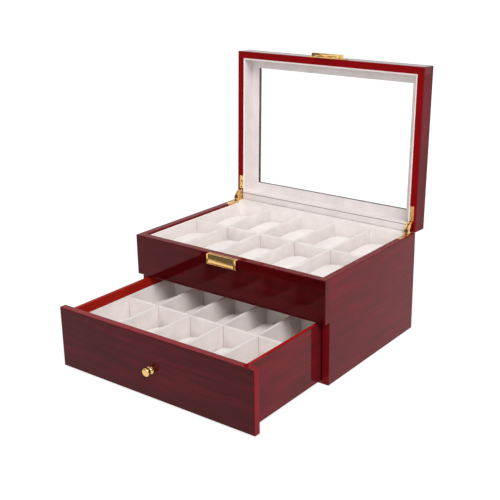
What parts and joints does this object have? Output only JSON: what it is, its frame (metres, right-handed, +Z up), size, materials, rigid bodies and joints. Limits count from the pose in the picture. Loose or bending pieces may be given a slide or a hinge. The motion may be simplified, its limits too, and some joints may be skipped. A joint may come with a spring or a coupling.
{
  "type": "watch box with drawer",
  "caption": "Lacquered wooden box for keeping watches, with a hinged window lid over a cushioned, divided tray and a pull-out divided drawer below",
  "frame": {"origin": "middle of the underside of the case, on the surface that it stands on", "axes": "+X to the right along the front, -Y out of the front, where the drawer pulls out, +Z up; at rest the lid stands open and the drawer is pulled out as in the picture"},
  "size_m": [0.3, 0.3947, 0.3611],
  "materials": {
    "lacquered_wood": "high gloss lacquer over cherry-stained grain",
    "plain_board": "dark stain, satin",
    "velvet_lining": "short-pile velvet",
    "cushion_velvet": "short-pile velvet over foam",
    "polished_brass": "polished",
    "spring_steel": "plain",
    "window_glass": "clear"
  },
  "bodies": {
    "case": {"left_side_wall": "lacquered_wood", "right_side_wall": "lacquered_wood", "back_wall": "lacquered_wood", "upper_front_panel": "lacquered_wood", "tray_floor_panel": "plain_board", "base_panel": "plain_board", "drawer_stop_strip": "plain_board", "tray_lining": "velvet_lining", "tray_cross_divider": "velvet_lining", "tray_row_dividers": "velvet_lining", "left_hinge_case_leaf": "polished_brass", "right_hinge_case_leaf": "polished_brass", "hinge_pins": "polished_brass", "case_screws": "polished_brass", "clasp_plate": "polished_brass", "clasp_pin": "polished_brass", "clasp_spring": "spring_steel"},
    "drawer": {"drawer_front": "lacquered_wood", "drawer_left_side": "lacquered_wood", "drawer_right_side": "lacquered_wood", "drawer_back": "lacquered_wood", "drawer_bottom": "plain_board", "drawer_lining": "velvet_lining", "drawer_cross_divider": "velvet_lining", "drawer_row_dividers": "velvet_lining", "knob": "polished_brass", "knob_screw": "polished_brass"},
    "lid": {"lid_front_rail": "lacquered_wood", "lid_rear_rail": "lacquered_wood", "lid_left_rail": "lacquered_wood", "lid_right_rail": "lacquered_wood", "lid_top_frame": "lacquered_wood", "lid_glass": "window_glass", "lid_lining": "velvet_lining", "left_hinge_lid_leaf": "polished_brass", "right_hinge_lid_leaf": "polished_brass", "lid_screws": "polished_brass", "strike_plate": "polished_brass"},
    "clasp_lever": {"clasp_lever": "polished_brass"},
    "tray_cushion_front_1": {"tray_cushion_front_1": "cushion_velvet"},
    "tray_cushion_front_2": {"tray_cushion_front_2": "cushion_velvet"},
    "tray_cushion_front_3": {"tray_cushion_front_3": "cushion_velvet"},
    "tray_cushion_front_4": {"tray_cushion_front_4": "cushion_velvet"},
    "tray_cushion_front_5": {"tray_cushion_front_5": "cushion_velvet"},
    "tray_cushion_back_1": {"tray_cushion_back_1": "cushion_velvet"},
    "tray_cushion_back_2": {"tray_cushion_back_2": "cushion_velvet"},
    "tray_cushion_back_3": {"tray_cushion_back_3": "cushion_velvet"},
    "tray_cushion_back_4": {"tray_cushion_back_4": "cushion_velvet"},
    "tray_cushion_back_5": {"tray_cushion_back_5": "cushion_velvet"},
    "drawer_cushion_front_1": {"drawer_cushion_front_1": "cushion_velvet"},
    "drawer_cushion_front_2": {"drawer_cushion_front_2": "cushion_velvet"},
    "drawer_cushion_front_3": {"drawer_cushion_front_3": "cushion_velvet"},
    "drawer_cushion_front_4": {"drawer_cushion_front_4": "cushion_velvet"},
    "drawer_cushion_front_5": {"drawer_cushion_front_5": "cushion_velvet"},
    "drawer_cushion_back_1": {"drawer_cushion_back_1": "cushion_velvet"},
    "drawer_cushion_back_2": {"drawer_cushion_back_2": "cushion_velvet"},
    "drawer_cushion_back_3": {"drawer_cushion_back_3": "cushion_velvet"},
    "drawer_cushion_back_4": {"drawer_cushion_back_4": "cushion_velvet"},
    "drawer_cushion_back_5": {"drawer_cushion_back_5": "cushion_velvet"}
  },
  "joints": [
    {"name": "lid_hinge", "type": "hinge", "parent": "case", "child": "lid", "pos_m": [0, 0.108, 0.1382], "axis": [-1, 0, 0], "range_deg": [-92, 0]},
    {"name": "drawer_slide", "type": "slide", "parent": "case", "child": "drawer", "axis": [0, -1, 0], "range_m": [-0.136, 0.033]},
    {"name": "clasp_press", "type": "hinge", "parent": "case", "child": "clasp_lever", "pos_m": [0, -0.1133, 0.1311], "axis": [1, 0, 0], "range_deg": [0, 8], "stiffness_Nm_per_rad": 0.05, "springref_deg": -8.59},
    {"name": "tray_cushion_front_1_lift", "type": "slide", "parent": "case", "child": "tray_cushion_front_1", "axis": [0, 0, 1], "range_m": [0, 0.06]},
    {"name": "tray_cushion_front_2_lift", "type": "slide", "parent": "case", "child": "tray_cushion_front_2", "axis": [0, 0, 1], "range_m": [0, 0.06]},
    {"name": "tray_cushion_front_3_lift", "type": "slide", "parent": "case", "child": "tray_cushion_front_3", "axis": [0, 0, 1], "range_m": [0, 0.06]},
    {"name": "tray_cushion_front_4_lift", "type": "slide", "parent": "case", "child": "tray_cushion_front_4", "axis": [0, 0, 1], "range_m": [0, 0.06]},
    {"name": "tray_cushion_front_5_lift", "type": "slide", "parent": "case", "child": "tray_cushion_front_5", "axis": [0, 0, 1], "range_m": [0, 0.06]},
    {"name": "tray_cushion_back_1_lift", "type": "slide", "parent": "case", "child": "tray_cushion_back_1", "axis": [0, 0, 1], "range_m": [0, 0.06]},
    {"name": "tray_cushion_back_2_lift", "type": "slide", "parent": "case", "child": "tray_cushion_back_2", "axis": [0, 0, 1], "range_m": [0, 0.06]},
    {"name": "tray_cushion_back_3_lift", "type": "slide", "parent": "case", "child": "tray_cushion_back_3", "axis": [0, 0, 1], "range_m": [0, 0.06]},
    {"name": "tray_cushion_back_4_lift", "type": "slide", "parent": "case", "child": "tray_cushion_back_4", "axis": [0, 0, 1], "range_m": [0, 0.06]},
    {"name": "tray_cushion_back_5_lift", "type": "slide", "parent": "case", "child": "tray_cushion_back_5", "axis": [0, 0, 1], "range_m": [0, 0.06]},
    {"name": "drawer_cushion_front_1_lift", "type": "slide", "parent": "drawer", "child": "drawer_cushion_front_1", "axis": [0, 0, 1], "range_m": [0, 0.056]},
    {"name": "drawer_cushion_front_2_lift", "type": "slide", "parent": "drawer", "child": "drawer_cushion_front_2", "axis": [0, 0, 1], "range_m": [0, 0.056]},
    {"name": "drawer_cushion_front_3_lift", "type": "slide", "parent": "drawer", "child": "drawer_cushion_front_3", "axis": [0, 0, 1], "range_m": [0, 0.056]},
    {"name": "drawer_cushion_front_4_lift", "type": "slide", "parent": "drawer", "child": "drawer_cushion_front_4", "axis": [0, 0, 1], "range_m": [0, 0.056]},
    {"name": "drawer_cushion_front_5_lift", "type": "slide", "parent": "drawer", "child": "drawer_cushion_front_5", "axis": [0, 0, 1], "range_m": [0, 0.056]},
    {"name": "drawer_cushion_back_1_lift", "type": "slide", "parent": "drawer", "child": "drawer_cushion_back_1", "axis": [0, 0, 1], "range_m": [0, 0.03]},
    {"name": "drawer_cushion_back_2_lift", "type": "slide", "parent": "drawer", "child": "drawer_cushion_back_2", "axis": [0, 0, 1], "range_m": [0, 0.03]},
    {"name": "drawer_cushion_back_3_lift", "type": "slide", "parent": "drawer", "child": "drawer_cushion_back_3", "axis": [0, 0, 1], "range_m": [0, 0.03]},
    {"name": "drawer_cushion_back_4_lift", "type": "slide", "parent": "drawer", "child": "drawer_cushion_back_4", "axis": [0, 0, 1], "range_m": [0, 0.03]},
    {"name": "drawer_cushion_back_5_lift", "type": "slide", "parent": "drawer", "child": "drawer_cushion_back_5", "axis": [0, 0, 1], "range_m": [0, 0.03]}
  ]
}
